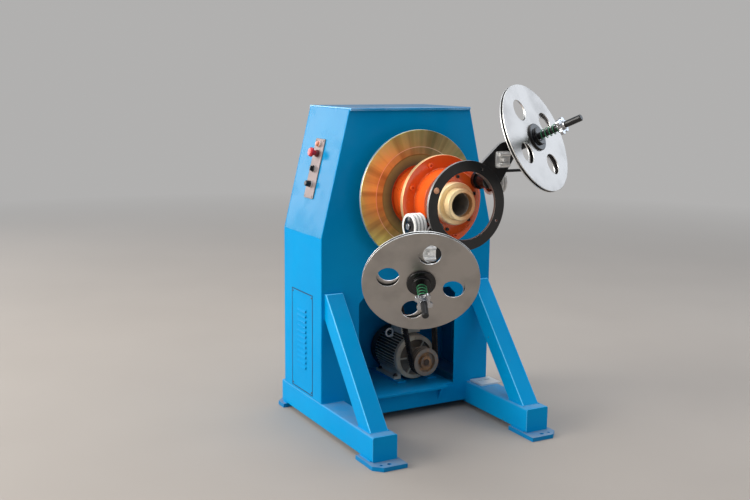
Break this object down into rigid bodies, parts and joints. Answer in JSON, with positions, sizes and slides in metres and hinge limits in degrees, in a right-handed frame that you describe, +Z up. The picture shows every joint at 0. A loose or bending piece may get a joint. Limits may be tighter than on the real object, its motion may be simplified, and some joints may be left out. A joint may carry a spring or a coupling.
{
  "type": "wire taping machine",
  "caption": "Wire taping machine: a motor-driven head with splayed tape spools turns about a cable bore on a braced sheet-metal cabinet.",
  "frame": {"origin": "on the floor, midway between the four anchor holes", "axes": "+X to the right of the machine seen from its head side, +Y back along the cable bore, +Z up"},
  "size_m": [0.9324, 1.1476, 1.474],
  "materials": {
    "cabinet_blue": "semi-gloss enamel",
    "frame_blue": "semi-gloss enamel, worn",
    "hub_orange": "gloss enamel",
    "brass": "turned, dulled",
    "ring_black": "satin black",
    "knob_black": "gloss",
    "bright_steel": "polished",
    "dark_steel": "oiled",
    "flange_grey": "satin",
    "roller_white": "smooth nylon",
    "motor_grey": "painted, dusty",
    "belt_rubber": "matte",
    "stop_red": "gloss"
  },
  "bodies": {
    "root": {"foot_plates": "frame_blue", "skids": "frame_blue", "skid_end_caps": "frame_blue", "cross_beams": "cabinet_blue", "motor_platform": "cabinet_blue", "front_panel": "cabinet_blue", "back_panel": "cabinet_blue", "left_side_panel": "cabinet_blue", "right_side_panel": "cabinet_blue", "roof_panel": "cabinet_blue", "vent_doors": "cabinet_blue", "braces": "frame_blue", "shim_plate": "frame_blue", "control_plate": "bright_steel", "emergency_stop": "stop_red", "control_switches": "knob_black", "front_bearing_housing": "hub_orange", "rear_bearing_housing": "hub_orange", "motor_stator": "motor_grey", "motor_eyebolt": "dark_steel", "motor_end_shield": "motor_grey", "motor_fan_cowl": "motor_grey", "motor_terminal_box": "motor_grey", "motor_slide_rails": "dark_steel", "drive_belts": "belt_rubber"},
    "motor_rotor": {"motor_shaft": "bright_steel", "motor_pulley": "dark_steel"},
    "taping_head": {"hollow_shaft": "dark_steel", "main_pulley": "dark_steel", "brass_disc": "brass", "taping_hub": "hub_orange", "brass_nose": "brass", "tape_ring": "ring_black", "spool_arms": "ring_black", "arm_bosses": "knob_black", "tape_clamps": "bright_steel", "spool_spindles": "dark_steel", "roller_pins": "ring_black", "tension_springs": "dark_steel", "lobed_nuts": "bright_steel"},
    "upper_spool": {"upper_inner_flange": "flange_grey", "upper_outer_flange": "flange_grey", "upper_pressure_washer": "ring_black"},
    "upper_roller": {"upper_guide_roller": "roller_white"},
    "lower_spool": {"lower_inner_flange": "flange_grey", "lower_outer_flange": "flange_grey", "lower_pressure_washer": "ring_black"},
    "lower_roller": {"lower_guide_roller": "roller_white"}
  },
  "joints": [
    {"name": "head_spin", "type": "hinge", "parent": "root", "child": "taping_head", "pos_m": [0, 0.033, 1], "axis": [0, -1, 0], "continuous": true},
    {"name": "motor_spin", "type": "hinge", "parent": "root", "child": "motor_rotor", "pos_m": [0.108, 0.033, 0.232], "axis": [0, -1, 0], "continuous": true},
    {"name": "upper_spool_spin", "type": "hinge", "parent": "taping_head", "child": "upper_spool", "pos_m": [0.2598, -0.493, 1.26903], "axis": [0.3984, -0.8192, 0.4126], "continuous": true},
    {"name": "upper_roller_spin", "type": "hinge", "parent": "taping_head", "child": "upper_roller", "pos_m": [0.163, -0.32, 1.08], "axis": [1, 0, 0], "continuous": true},
    {"name": "lower_spool_spin", "type": "hinge", "parent": "taping_head", "child": "lower_spool", "pos_m": [-0.2598, -0.493, 0.73097], "axis": [-0.3984, -0.8192, -0.4126], "continuous": true},
    {"name": "lower_roller_spin", "type": "hinge", "parent": "taping_head", "child": "lower_roller", "pos_m": [-0.163, -0.32, 0.92], "axis": [-1, 0, 0], "continuous": true}
  ],
  "couplings": [
    {"joint": "motor_spin", "follows": "head_spin", "ratio": 2.1525}
  ]
}
